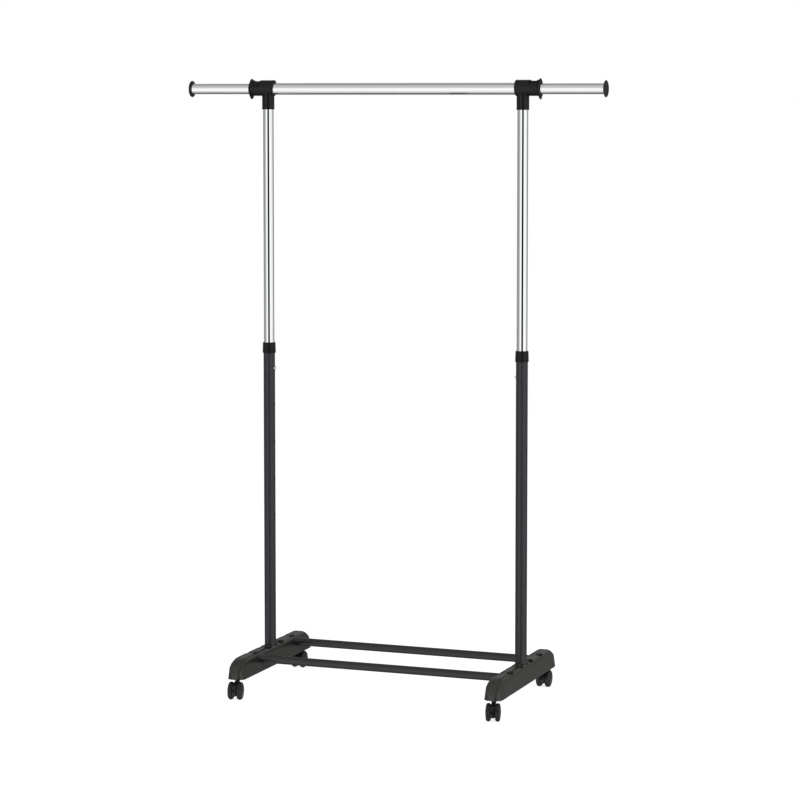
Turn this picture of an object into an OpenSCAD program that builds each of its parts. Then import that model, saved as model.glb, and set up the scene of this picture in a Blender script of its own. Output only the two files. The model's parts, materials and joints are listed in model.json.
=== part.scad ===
// Rolling clothes rack: two plastic feet on twin-wheel casters, two rails between them,
// telescoping uprights locked by snap buttons, and a hanging bar with an extension at each end.
// Millimetres. +X runs along the bar to the right, +Y away from the front, +Z up.
// The origin lies on the floor, midway between the two uprights.

/* [Frame] */
// Distance between the axes of the two uprights
upright_spacing = 731; // [500:1:1200]
// Height of the hanging bar's axis above the floor, at the top setting
bar_height = 1640.5; // [1500:0.5:2000]
// Overall length of the bar with both extensions drawn out as at rest, over the end caps
bar_reach = 1190; // [1000:1:1800]
// Height of the top button hole above the floor
button_height = 876; // [800:1:1000]
// Spacing of the height settings
hole_pitch = 101.6; // [40:0.1:110]
// Number of height settings
settings = 5; // [2:1:5]

/* [Tubes] */
// Outside diameter of the lower tubes and of the centre bar
outer_tube_d = 31.75; // [30.5:0.05:34]
// Outside diameter of the upper tubes and of the extension bars
inner_tube_d = 28.6; // [27:0.1:29]
// Wall of the outer tubes
outer_wall = 1.0; // [0.8:0.1:1.2]
// Wall of the inner tubes
inner_wall = 0.9; // [0.8:0.1:1.5]
// Length of upper tube below its snap button
tube_below_button = 45; // [30:1:60]
// How much further than at rest an extension bar can be drawn out
extension_spare = 60; // [10:1:90]
// Length of extension bar that stays in the centre bar when it is drawn right out
least_overlap = 57; // [40:1:80]
// Outside diameter of the two rails between the feet
rail_d = 22; // [16:0.5:22]
// Wall of the rails
rail_wall = 1.0; // [0.8:0.1:2]
// How far each rail reaches past the middle of a foot
rail_past_middle = 1.5; // [-2:0.1:1.5]
// Distance of each rail's axis from the plane of the uprights
rail_offset = 125.5; // [100:0.5:150]
// Height of the rails' axis above the floor
rail_height = 91; // [89:0.5:92]

/* [Feet] */
// Length of a foot, front to back
foot_length = 491; // [440:1:560]
// Width of a foot at its bottom edge
foot_width = 50; // [45:0.5:60]
// Width of a foot at the crease where its rounded shoulders start
crease_width = 42.5; // [40:0.5:45]
// Radius of the shoulders
shoulder_r = 14; // [12:0.5:16]
// Height of a foot's bottom edge above the floor
foot_bottom = 53.5; // [52:0.5:56]
// Height of a foot's top above the floor
foot_top = 106.7; // [106:0.1:111]
// Length over which the top falls away at each end
nose_fall = 56; // [40:1:60]
// Height of the upright lip below that fall
nose_lip = 5; // [3:0.5:8]
// Radius of the ends seen from above
nose_r = 20; // [10:0.5:22]
// Wall around the hollows under a foot
foot_wall = 3.5; // [2.5:0.1:4.5]
// Thickness of the floor that the upright stands on
socket_floor = 10; // [8:0.5:14]
// Length of each oval pocket in the shoulders
pocket_length = 32; // [20:1:36]
// Width of the pockets that hold the rails' screws
screw_pocket_width = 11; // [9:0.5:11]
// Depth of those pockets below the foot's top
screw_pocket_depth = 3.3; // [2:0.1:3.5]
// Distance of the screws from the middle of the foot
screw_side = 10; // [8:0.1:10]
// Width of the other, deep pockets
deep_pocket_width = 13.5; // [9:0.5:14]
// Depth of the deep pockets
deep_pocket_depth = 9; // [4:0.5:11]
// Distance of the deep pockets' centre line from the middle of the foot
deep_pocket_side = 10.8; // [10:0.1:11]
// Distance from the upright's axis to the nearer pockets
near_pocket = 42; // [38:1:60]
// Width of the groove round the upright in the foot's top
ring_groove_width = 3.5; // [1.5:0.1:5]
// Depth of that groove
ring_groove_depth = 4.5; // [1:0.1:6]

/* [Collar] */
// Height of the collar on top of each lower tube
collar_height = 29; // [20:0.5:40]
// How far the collar rises above the lower tube
collar_lip = 4.5; // [3:0.1:6]
// Height of the collar's top above the top button hole
collar_above_button = 71; // [50:0.1:90]
// Diameter of the collar at its top
collar_top_d = 35; // [34.5:0.1:38]
// Diameter of the collar at its bottom
collar_bottom_d = 37; // [34.5:0.1:40]

/* [Tees and twist locks] */
// Outside diameter of a tee's barrel
barrel_d = 42.8; // [41:0.1:48]
// How far the barrel's axis lies above the bar's axis
barrel_rise = 2.4; // [0:0.1:3]
// Length of the barrel inboard of the upright's axis
barrel_inboard = 18.5; // [18:0.5:30]
// Length of the barrel outboard of the upright's axis
barrel_outboard = 46; // [42:0.5:60]
// Outside diameter of a tee's vertical socket
socket_d = 33.6; // [33:0.1:38]
// Distance from the bar's axis down to the end of the socket
socket_drop = 55.5; // [40:0.5:80]
// Diameter of the twist lock's hub
hub_d = 33; // [32.2:0.1:33.2]
// Thickness of the twist lock's winged flange
flange_thickness = 4.2; // [3:0.1:6]
// Diameter of the round part of that flange
flange_d = 43; // [40:0.5:46]
// Distance across the tips of the flange's two wings
wing_span = 55; // [50:0.5:64]
// Angle that the shallow recess in the barrel spans
recess_angle = 138; // [90:1:150]
// Angle from the horizontal to that recess's lower edge
recess_start = 5; // [0:1:25]
// Length of the recess along the barrel
recess_long = 20; // [8:0.5:22]
// Depth of the recess
recess_deep = 2.4; // [0.5:0.1:2.6]

/* [Snap buttons] */
// Diameter of a snap button
button_d = 8; // [6:0.1:9]
// How far a snap button stands out of the lower tube
button_proud = 3.8; // [1:0.1:4]
// Thickness of the spring strip
strip_t = 0.8; // [0.5:0.1:1]
// Width of the spring strip
strip_w = 9; // [8:0.1:10]
// Height of the spring above its button
spring_rise = 42; // [25:1:60]

/* [Casters] */
// Diameter of a caster wheel
wheel_d = 48; // [44:0.5:49]
// Width of a wheel's tread
tread_w = 12; // [10:0.1:14]
// Clear space between the stem and the wheel at each side of it
stem_clearance = 1.5; // [0.6:0.05:2]
// Distance from the swivel axis back to the wheels' axle
trail = 18; // [16:0.5:20]
// Distance of each caster's stem from the end of its foot
stem_inset = 21; // [20:0.5:60]
// Diameter of a caster's stem
stem_d = 9.5; // [9:0.1:11.5]
// Length of stem above the foot's bottom edge
stem_engaged = 31.5; // [25:0.5:34]
// Diameter of the axle
axle_d = 5; // [4:0.1:7]
// Angle to which the front left caster has swivelled
front_left_turn = 9; // [-30:1:30]
// Angle to which the front right caster has swivelled
front_right_turn = 13; // [-30:1:30]

/* [End caps] */
// Diameter of an end cap
cap_d = 45; // [40:0.5:55]
// Thickness of an end cap's head
cap_t = 5.5; // [4:0.1:10]

/* [Fits] */
// Radial clearance of a part that turns or slides in a bore
running = 0.08; // [0.03:0.01:0.1]
// Radial clearance of a part that is pushed in and stays
seated = 0.1; // [0.05:0.01:0.12]
// Clear space between parts that pass each other without touching
air = 0.4; // [0.3:0.05:0.6]

/* [Hidden] */
$fn = 64;
eps = 0.01;
half_spacing = upright_spacing / 2;
outer_bore = outer_tube_d - 2 * outer_wall;
inner_bore = inner_tube_d - 2 * inner_wall;
rail_bore = rail_d - 2 * rail_wall;
foot_half = foot_length / 2;
stem_offset = foot_half - stem_inset;
crease_z = foot_top - shoulder_r;
tube_seat = foot_bottom + socket_floor;
collar_top = button_height + collar_above_button;
lower_tube_top = collar_top - collar_lip;
upper_tube_bottom = button_height - tube_below_button;

// upright and bar
tee_floor = 4;
upper_tube_top = bar_height - outer_tube_d / 2 - tee_floor;
socket_bottom = bar_height - socket_drop;
bar_seat = 14;
bar_end = half_spacing + bar_seat;
tee_web = 7;
hub_start = bar_seat + tee_web;
flange_start = barrel_outboard + air;
flange_end = flange_start + flange_thickness;
cap_sleeve = 3;
extension_tip = bar_reach / 2 - cap_t + cap_sleeve;
extension_inner_end = bar_end - extension_spare - least_overlap;
end_band = 5;

// guides pushed into the tubes' ends
guide_d = outer_bore - 2 * running;
guide_lip = 3;
guide_wall = 4;
spigot = 15;
spigot_d = inner_bore - 2 * seated;
guide_hole = inner_bore - 2 * guide_wall;

// screws and bolts
bolt_d = 6;
bolt_head_d = 11;
bolt_head_h = 4;
bolt_recess = 1;
wrench_gap = 2;
bolt_length = 26;
plug_length = 22;
screw_d = 4;
screw_head_d = 8.4;
screw_head_h = 2;
screw_reach = 1;
cross_length = 5;
cross_width = 1.2;
cross_depth = 1;
screw_seat = foot_top - screw_pocket_depth;

// casters
ring_flange_h = 0.8;
ring_flange_d = stem_d + 4;
sleeve_wall = 1.5;
sleeve_d = stem_d + 2 * sleeve_wall;
swivel_gap = 0.3;
stem_flange_h = 1.2;
stem_flange_d = stem_d + 2;
stem_flange_top = foot_bottom - ring_flange_h - swivel_gap;
neck_h = 3;
body_top = stem_flange_top - stem_flange_h - neck_h;
stem_top = foot_bottom + stem_engaged;
groove_below_top = 5;
groove_z = stem_top - groove_below_top;
groove_h = 2;
groove_depth = 1;
grip_d = stem_d + 1;
axle_z = wheel_d / 2;
stem_bottom = axle_z + axle_d;
wheel_inner = stem_d / 2 + stem_clearance;
wheel_outer = wheel_inner + tread_w;
axle_inset = 1.5;
axle_half = wheel_outer - axle_inset;
web_half = wheel_inner - air - swivel_gap;
boss_wall = 2;
boss_d = stem_d + 2 * boss_wall;

// colours
charcoal = [0.24, 0.24, 0.25];
paint = [0.22, 0.22, 0.235];
chrome = [0.82, 0.83, 0.85];
black = [0.09, 0.09, 0.095];
steel = [0.55, 0.56, 0.58];

SIDES = [-1, 1];

// ---------- shapes that repeat ----------

// Cylinder along X from x0 to x1
module rod_x(d, x0, x1) {
    translate([x0, 0, 0]) rotate([0, 90, 0]) cylinder(d = d, h = x1 - x0);
}

// Tube along X from x0 to x1
module pipe_x(d, bore, x0, x1) {
    difference() {
        rod_x(d, x0, x1);
        rod_x(bore, x0 - 1, x1 + 1);
    }
}

// Tube standing between two heights
module pipe_z(d, bore, z0, z1) {
    difference() {
        translate([0, 0, z0]) cylinder(d = d, h = z1 - z0);
        translate([0, 0, z0 - 1]) cylinder(d = bore, h = z1 - z0 + 2);
    }
}

// Flat oval, its long way along Y
module oval(length, width) {
    square([width, length - width], center = true);
    for (s = SIDES) translate([0, s * (length - width) / 2]) circle(d = width);
}

// Places its children at one upright, mirrored so that +X always points inboard
module at_upright(side) {
    translate([side * half_spacing, 0, 0]) mirror([side > 0 ? 1 : 0, 0, 0]) children();
}

// Places its children at a caster's swivel axis
module at_caster(side, end) {
    front_turn = side < 0 ? front_left_turn : front_right_turn;
    translate([side * half_spacing, end * stem_offset, 0])
        rotate([0, 0, end < 0 ? front_turn : 0]) children();
}

// ---------- feet ----------

// Half of the foot's side view falls away at its end as a quarter of an ellipse
function fall(top, bottom) = [
    for (a = [0 : 6 : 90]) [
        foot_half - nose_fall + nose_fall * sin(a),
        bottom + (top - bottom) * cos(a),
    ]
];

module foot_side_view() {
    edge = fall(foot_top, foot_bottom + nose_lip);
    polygon(concat(
        [[0, foot_bottom]],
        [[0, foot_top]],
        edge,
        [[foot_half, foot_bottom]]
    ));
}

module foot_cross_section() {
    flat = crease_width / 2 - shoulder_r;
    polygon([
        [-foot_width / 2, foot_bottom], [foot_width / 2, foot_bottom],
        [crease_width / 2, crease_z], [-crease_width / 2, crease_z],
    ]);
    translate([-flat, crease_z - eps]) square([2 * flat, shoulder_r + eps]);
    intersection() {
        for (s = SIDES) translate([s * flat, crease_z]) circle(r = shoulder_r);
        translate([-crease_width / 2, crease_z - eps]) square([crease_width, shoulder_r + 1]);
    }
}

module foot_plan() {
    w = foot_width / 2 - nose_r;
    square([foot_width, foot_length - 2 * nose_r], center = true);
    square([2 * w, foot_length], center = true);
    for (s = SIDES, t = SIDES) translate([s * w, t * (foot_half - nose_r)]) circle(r = nose_r);
}

module foot_envelope() {
    tall = foot_top - foot_bottom + 2;
    intersection() {
        translate([0, 0, foot_bottom - 1]) linear_extrude(tall) foot_plan();
        rotate([90, 0, 0]) linear_extrude(foot_length + 2, center = true) foot_cross_section();
        for (m = [0, 1]) mirror([0, m, 0])
            rotate([90, 0, 90]) linear_extrude(foot_width + 2, center = true) foot_side_view();
    }
}

// Hollows open at the bottom, between the sockets of the upright, rails and casters
module foot_hollows() {
    half = crease_width / 2 - foot_wall;
    tube_side = outer_tube_d / 2 + foot_wall;
    rail_near = rail_offset - rail_d / 2 - foot_wall;
    rail_far = rail_offset + rail_d / 2 + foot_wall;
    stem_side = stem_offset - sleeve_d / 2 - foot_wall;
    for (s = SIDES, y = [[tube_side, rail_near], [rail_far, stem_side]])
        translate([-half, s > 0 ? y[0] : -y[1], foot_bottom - 1])
            cube([2 * half, y[1] - y[0], crease_z - foot_bottom + 1]);
    // shallower hollow under each rail
    for (s = SIDES)
        translate([-half, s * rail_offset - rail_d / 2, foot_bottom - 1])
            cube([2 * half, rail_d, rail_height - rail_d / 2 - foot_wall - foot_bottom + 1]);
}

module foot_pocket(x, y, width, depth) {
    translate([x, y, foot_top - depth]) linear_extrude(depth + 1) oval(pocket_length, width);
}

module foot_pockets() {
    for (t = SIDES) {
        foot_pocket(screw_side, t * rail_offset, screw_pocket_width, screw_pocket_depth);
        foot_pocket(-deep_pocket_side, t * rail_offset, deep_pocket_width, deep_pocket_depth);
        for (s = SIDES)
            foot_pocket(s * deep_pocket_side, t * near_pocket, deep_pocket_width, deep_pocket_depth);
    }
}

module foot(side) {
    color(charcoal) at_upright(side) difference() {
        foot_envelope();
        foot_hollows();
        foot_pockets();
        // socket of the upright with a groove round its mouth, and the bolt that comes up into it
        translate([0, 0, foot_top - ring_groove_depth])
            cylinder(d = outer_tube_d + 2 * ring_groove_width, h = foot_top);
        translate([0, 0, tube_seat]) cylinder(d = outer_tube_d + 2 * seated, h = foot_top);
        translate([0, 0, foot_bottom - 1]) cylinder(d = bolt_d + 2 * seated, h = foot_top);
        translate([0, 0, foot_bottom - 1])
            cylinder(d = bolt_head_d + 2 * wrench_gap, h = bolt_head_h + bolt_recess + 1);
        for (t = SIDES) {
            // rail socket, blind towards the outboard side
            translate([0, t * rail_offset, rail_height])
                rod_x(rail_d + 2 * seated, -rail_past_middle - seated, foot_width);
            translate([screw_side, t * rail_offset, rail_height])
                cylinder(d = screw_d + 2 * seated, h = foot_top - rail_height);
            // sleeve of the caster stem
            translate([0, t * stem_offset, foot_bottom - 1])
                cylinder(d = sleeve_d + 2 * seated, h = stem_engaged + sleeve_wall + seated + 1);
        }
    }
}

// ---------- rails ----------

module rail(end) {
    reach = half_spacing + rail_past_middle;
    color(paint) translate([0, end * rail_offset, rail_height]) difference() {
        pipe_x(rail_d, rail_bore, -reach, reach);
        for (s = SIDES) translate([s * (half_spacing - screw_side), 0, 0])
            cylinder(d = screw_d + 2 * seated, h = rail_d);
    }
}

module rail_screw() {
    tip = rail_height + screw_reach;
    translate([0, 0, screw_seat + seated]) cylinder(d = screw_head_d, h = screw_head_h);
    translate([0, 0, tip]) cylinder(d = screw_d, h = screw_seat + seated - tip + eps);
}

module rail_screws() {
    color(steel) for (s = SIDES, t = SIDES)
        translate([s * (half_spacing - screw_side), t * rail_offset, 0]) difference() {
            rail_screw();
            translate([0, 0, screw_seat + seated + screw_head_h - cross_depth])
                for (a = [0, 90]) rotate([0, 0, a]) translate([-cross_length / 2, -cross_width / 2, 0])
                    cube([cross_length, cross_width, screw_head_h]);
        }
}

// ---------- lower uprights ----------

module lower_tube(side) {
    color(paint) at_upright(side) difference() {
        pipe_z(outer_tube_d, outer_bore, tube_seat, lower_tube_top);
        for (i = [0 : settings - 1])
            translate([0, 0, button_height - i * hole_pitch])
                rod_x(button_d + 2 * air, 0, outer_tube_d);
    }
}

module tube_plug(side) {
    color(black) at_upright(side) difference() {
        translate([0, 0, tube_seat]) cylinder(d = outer_bore - 2 * seated, h = plug_length);
        translate([0, 0, tube_seat - 1]) cylinder(d = bolt_d + 2 * seated, h = plug_length + 2);
    }
}

module foot_bolts() {
    head_z = foot_bottom + bolt_recess;
    color(steel) for (s = SIDES) translate([s * half_spacing, 0, head_z]) {
        cylinder(d = bolt_head_d, h = bolt_head_h - seated, $fn = 6);
        translate([0, 0, bolt_head_h - seated - eps]) cylinder(d = bolt_d, h = bolt_length);
    }
}

module lock_collar(side) {
    skirt = collar_height - collar_lip;
    color(black) at_upright(side) difference() {
        translate([0, 0, collar_top - collar_height])
            cylinder(d1 = collar_bottom_d, d2 = collar_top_d, h = collar_height);
        translate([0, 0, collar_top - collar_height - 1])
            cylinder(d = outer_tube_d + 2 * seated, h = skirt + 1);
        translate([0, 0, collar_top - collar_height])
            cylinder(d = inner_tube_d + 2 * running, h = collar_height + 1);
    }
}

// ---------- top frame ----------

module upper_tube(side) {
    color(chrome) at_upright(side) difference() {
        pipe_z(inner_tube_d, inner_bore, upper_tube_bottom, upper_tube_top);
        translate([0, 0, button_height]) rod_x(button_d + 2 * air, 0, inner_tube_d);
    }
}

module tube_guide(side) {
    color(black) at_upright(side) difference() {
        union() {
            translate([0, 0, upper_tube_bottom - guide_lip]) cylinder(d = guide_d, h = guide_lip);
            translate([0, 0, upper_tube_bottom - eps]) cylinder(d = spigot_d, h = spigot);
        }
        translate([0, 0, upper_tube_bottom - guide_lip - 1])
            cylinder(d = guide_hole, h = guide_lip + spigot + 2);
    }
}

// Spring strip bent to a V, with the button formed on its inboard leg
module snap_clip(side) {
    rest_x = sqrt(pow(inner_bore / 2, 2) - pow(strip_w / 2, 2)) - seated;
    tip = outer_tube_d / 2 + button_proud;
    dome = 1.2;
    leg_end = 3;
    leg_rise = 2;
    bend_half = 1.5 * strip_t;
    bend_z = button_height + spring_rise;
    low_z = button_height - button_d / 2 - leg_end;
    high_z = button_height + button_d / 2 + leg_rise;
    color(steel) at_upright(side) {
        rotate([90, 0, 0]) linear_extrude(strip_w, center = true) {
            for (s = SIDES) polygon([
                [s * rest_x, low_z], [s * (rest_x - strip_t), low_z],
                [s * (rest_x - strip_t), high_z],
                [0, bend_z - 2 * bend_half], [0, bend_z],
                [s * bend_half, bend_z - strip_t / 2],
                [s * rest_x, high_z],
            ]);
        }
        translate([0, 0, button_height]) {
            rod_x(button_d, rest_x - eps, tip - dome);
            translate([tip - dome - eps, 0, 0]) rotate([0, 90, 0])
                cylinder(d1 = button_d, d2 = button_d - 2 * dome, h = dome);
        }
    }
}

// The tee is one moulding, turned half round for the other side: +X points inboard
module at_tee(side) {
    translate([side * half_spacing, 0, bar_height]) rotate([0, 0, side > 0 ? 180 : 0]) children();
}

// Wedge of a ring round X, from angle a0 to a1 counted from the front over the top
module ring_wedge(r0, r1, a0, a1, x0, x1) {
    span = a1 - a0;
    translate([x0, 0, 0]) rotate([90, 0, 90]) linear_extrude(x1 - x0) polygon(concat(
        [for (i = [0 : 8]) let (a = 180 - a0 - span * i / 8) [r1 * cos(a), r1 * sin(a)]],
        [for (i = [8 : -1 : 0]) let (a = 180 - a0 - span * i / 8) [r0 * cos(a), r0 * sin(a)]]
    ));
}

module tee(side) {
    color(black) at_tee(side) difference() {
        union() {
            translate([0, 0, barrel_rise]) rod_x(barrel_d, -barrel_outboard, barrel_inboard);
            translate([0, 0, -socket_drop]) cylinder(d = socket_d, h = socket_drop);
        }
        // seat of the centre bar, passage of the extension bar, chamber of the twist lock
        rod_x(outer_tube_d + 2 * seated, -bar_seat, barrel_inboard + 1);
        rod_x(inner_tube_d + 2 * air, -barrel_outboard, barrel_inboard);
        rod_x(hub_d + 2 * air, -barrel_outboard - 1, -hub_start + air);
        // socket of the upper tube
        translate([0, 0, -socket_drop - 1])
            cylinder(d = inner_tube_d + 2 * seated, h = upper_tube_top - socket_bottom + 1);
        // shallow recess in which the barrel is ribbed for grip
        translate([0, 0, barrel_rise])
            ring_wedge(barrel_d / 2 - recess_deep, barrel_d, recess_start, recess_start + recess_angle,
                end_band - barrel_outboard, end_band + recess_long - barrel_outboard);
    }
}

module centre_bar() {
    color(chrome) translate([0, 0, bar_height]) pipe_x(outer_tube_d, outer_bore, -bar_end, bar_end);
}

// Flange outline: a disc with a rounded wing above and below
module flange_outline() {
    tip_r = 8;
    wing_half = 12.8;
    circle(d = flange_d);
    for (s = SIDES) {
        translate([0, s * (wing_span / 2 - tip_r)]) circle(r = tip_r);
        polygon([
            [-wing_half, s * flange_d * 0.4], [wing_half, s * flange_d * 0.4],
            [tip_r * 0.85, s * (wing_span / 2 - tip_r * 0.45)],
            [-tip_r * 0.85, s * (wing_span / 2 - tip_r * 0.45)],
        ]);
    }
}

// Its hub turns in the tee's chamber
module twist_lock(side) {
    color(black) at_tee(side) difference() {
        union() {
            rod_x(hub_d, -flange_start - eps, -hub_start);
            translate([-flange_end, 0, 0]) rotate([90, 0, 90])
                linear_extrude(flange_thickness) flange_outline();
        }
        rod_x(inner_tube_d + 2 * air, -flange_end - 1, 0);
    }
}

// ---------- extensions ----------

module extension_bar(side) {
    color(chrome) translate([0, 0, bar_height]) mirror([side < 0 ? 1 : 0, 0, 0])
        pipe_x(inner_tube_d, inner_bore, extension_inner_end, extension_tip);
}

module bar_guide(side) {
    end = extension_inner_end;
    color(black) translate([0, 0, bar_height]) mirror([side < 0 ? 1 : 0, 0, 0]) difference() {
        union() {
            rod_x(guide_d, end - guide_lip, end);
            rod_x(spigot_d, end - eps, end + spigot);
        }
        rod_x(guide_hole, end - guide_lip - 1, end + spigot + 1);
    }
}

module end_cap(side) {
    rim = 1.2;
    back_wall = 1.5;
    dish_depth = 0.8;
    dish_d = cap_d - 12;
    plug_wall = 3;
    outer_face = bar_reach / 2;
    inner_face = outer_face - cap_t;
    color(black) translate([0, 0, bar_height]) mirror([side < 0 ? 1 : 0, 0, 0]) difference() {
        union() {
            translate([inner_face, 0, 0]) rotate([0, 90, 0])
                cylinder(d1 = inner_tube_d + 2 * back_wall, d2 = cap_d, h = cap_t - 2 * rim + eps);
            rod_x(cap_d, outer_face - 2 * rim, outer_face - rim);
            translate([outer_face - rim - eps, 0, 0]) rotate([0, 90, 0])
                cylinder(d1 = cap_d, d2 = cap_d - 2 * rim, h = rim);
            rod_x(spigot_d, inner_face - spigot, inner_face + eps);
        }
        // the cap sleeves over the very end of the bar, and its face is slightly dished
        difference() {
            rod_x(inner_tube_d + 2 * seated, inner_face - 1, extension_tip + seated);
            rod_x(spigot_d, inner_face - 2, extension_tip + 1);
        }
        translate([outer_face - dish_depth, 0, 0]) rotate([0, 90, 0])
            cylinder(d1 = dish_d, d2 = dish_d + 2 * dish_depth, h = dish_depth + eps);
        rod_x(spigot_d - 2 * plug_wall, inner_face - spigot - 1, inner_face + 1);
    }
}

// ---------- casters ----------

module stem_sleeve(side, end) {
    color(black) at_caster(side, end) difference() {
        union() {
            translate([0, 0, foot_bottom - ring_flange_h])
                cylinder(d = ring_flange_d, h = ring_flange_h);
            translate([0, 0, foot_bottom - eps])
                cylinder(d = sleeve_d, h = stem_engaged + sleeve_wall);
        }
        translate([0, 0, foot_bottom - ring_flange_h - 1])
            cylinder(d = stem_d + 2 * running, h = stem_engaged + ring_flange_h + 1 + swivel_gap);
        // groove that the grip ring snaps into
        translate([0, 0, groove_z - air]) cylinder(d = grip_d + 2 * air, h = groove_h + 2 * air);
    }
}

module caster_stem(side, end) {
    color(steel) at_caster(side, end) difference() {
        union() {
            translate([0, 0, stem_bottom]) cylinder(d = stem_d, h = stem_top - stem_bottom);
            translate([0, 0, stem_flange_top - stem_flange_h])
                cylinder(d = stem_flange_d, h = stem_flange_h);
        }
        pipe_z(stem_d + 2, stem_d - 2 * groove_depth, groove_z, groove_z + groove_h);
    }
}

module grip_ring(side, end) {
    color(steel) at_caster(side, end)
        pipe_z(grip_d, stem_d - 2 * groove_depth + 2 * seated,
            groove_z + 2 * seated, groove_z + groove_h - 2 * seated);
}

// Body between the wheels: a boss round the stem and a hooded web down to the trailing side
module caster_body(side, end) {
    wheel_r = wheel_d / 2;
    clear_z = axle_z + sqrt(pow(wheel_r, 2) - pow(max(trail - boss_d / 2, 0), 2)) + air;
    hood_r = wheel_r - 2;
    hood_inner_r = hood_r - 7;
    hood_top = min(wheel_d, body_top) - 1;
    window_h = 7;
    window_web = 1.5;
    color(black) at_caster(side, end) difference() {
        union() {
            rotate([90, 0, 90]) linear_extrude(2 * web_half, center = true) intersection() {
                union() {
                    translate([-trail, axle_z]) circle(r = hood_r);
                    translate([-trail, axle_z]) square([trail + boss_d / 2, hood_top - axle_z]);
                }
                translate([-trail - wheel_r, axle_z / 2]) square([wheel_d + trail, body_top]);
            }
            translate([0, 0, clear_z]) cylinder(d = boss_d, h = body_top - clear_z);
        }
        translate([0, 0, stem_bottom - seated]) cylinder(d = stem_d + 2 * seated, h = body_top);
        translate([0, -trail, axle_z]) rod_x(axle_d + 2 * seated, -wheel_outer, wheel_outer);
        // two windows that lighten the hood, either side of a bridge
        for (a = [118, 172]) translate([0, -trail, axle_z]) rotate([a, 0, 0])
            translate([window_web - web_half, hood_inner_r, -window_h / 2])
                cube([2 * (web_half - window_web), wheel_r, window_h]);
    }
}

module caster_axle(side, end) {
    color(steel) at_caster(side, end) translate([0, -trail, axle_z])
        rod_x(axle_d, -axle_half, axle_half);
}

// Outline of one wheel from its inner face outwards: dished inside, rounded tread, domed outside
module wheel_outline() {
    r = wheel_d / 2;
    edge_r = 4.5;
    rim_r = r - 5.5;
    hub_r = axle_d / 2 + 3.5;
    dish = 4;
    dome_h = 2.6;
    groove_w = 1;
    groove_deep = 0.8;
    dome_r = rim_r - 2 * groove_w;
    polygon(concat(
        [[0, 0], [hub_r, 0], [hub_r, dish], [rim_r, dish], [rim_r, 0]],
        [for (a = [-90 : 15 : 0]) [r - edge_r + edge_r * cos(a), edge_r + edge_r * sin(a)]],
        [for (a = [0 : 15 : 90]) [r - edge_r + edge_r * cos(a), tread_w - edge_r + edge_r * sin(a)]],
        [[rim_r, tread_w], [rim_r - groove_w, tread_w - groove_deep], [dome_r, tread_w - groove_deep]],
        [for (i = [5 : -1 : 0]) [dome_r * i / 6, tread_w + dome_h * (1 - pow(i / 6, 2)) - 0.3]]
    ));
}

module wheel(side, end, hand) {
    color(black) at_caster(side, end) translate([0, -trail, axle_z])
        mirror([hand < 0 ? 1 : 0, 0, 0]) difference() {
            translate([wheel_inner, 0, 0]) rotate([0, 90, 0]) rotate_extrude() wheel_outline();
            rod_x(axle_d + 2 * running, 0, axle_half + air);
        }
}

// ---------- nodes ----------

foot(-1);  // foot_left
foot(1);  // foot_right
rail(-1);  // front_rail
rail(1);  // rear_rail
rail_screws();
lower_tube(-1);  // lower_tube_left
lower_tube(1);  // lower_tube_right
tube_plug(-1);  // tube_plug_left
tube_plug(1);  // tube_plug_right
foot_bolts();
lock_collar(-1);  // lock_collar_left
lock_collar(1);  // lock_collar_right
upper_tube(-1);  // upper_tube_left
upper_tube(1);  // upper_tube_right
tube_guide(-1);  // tube_guide_left
tube_guide(1);  // tube_guide_right
snap_clip(-1);  // snap_clip_left
snap_clip(1);  // snap_clip_right
tee(-1);  // tee_left
tee(1);  // tee_right
centre_bar();
twist_lock(-1);  // twist_lock_left
twist_lock(1);  // twist_lock_right
extension_bar(-1);  // extension_bar_left
extension_bar(1);  // extension_bar_right
bar_guide(-1);  // bar_guide_left
bar_guide(1);  // bar_guide_right
end_cap(-1);  // end_cap_left
end_cap(1);  // end_cap_right
stem_sleeve(-1, -1);  // stem_sleeve_fl
stem_sleeve(1, -1);  // stem_sleeve_fr
stem_sleeve(-1, 1);  // stem_sleeve_rl
stem_sleeve(1, 1);  // stem_sleeve_rr
caster_stem(-1, -1);  // caster_stem_fl
caster_stem(1, -1);  // caster_stem_fr
caster_stem(-1, 1);  // caster_stem_rl
caster_stem(1, 1);  // caster_stem_rr
grip_ring(-1, -1);  // grip_ring_fl
grip_ring(1, -1);  // grip_ring_fr
grip_ring(-1, 1);  // grip_ring_rl
grip_ring(1, 1);  // grip_ring_rr
caster_body(-1, -1);  // caster_body_fl
caster_body(1, -1);  // caster_body_fr
caster_body(-1, 1);  // caster_body_rl
caster_body(1, 1);  // caster_body_rr
caster_axle(-1, -1);  // axle_fl
caster_axle(1, -1);  // axle_fr
caster_axle(-1, 1);  // axle_rl
caster_axle(1, 1);  // axle_rr
wheel(-1, -1, -1);  // left_wheel_fl
wheel(1, -1, -1);  // left_wheel_fr
wheel(-1, 1, -1);  // left_wheel_rl
wheel(1, 1, -1);  // left_wheel_rr
wheel(-1, -1, 1);  // right_wheel_fl
wheel(1, -1, 1);  // right_wheel_fr
wheel(-1, 1, 1);  // right_wheel_rl
wheel(1, 1, 1);  // right_wheel_rr
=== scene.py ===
import json
import math

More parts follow.
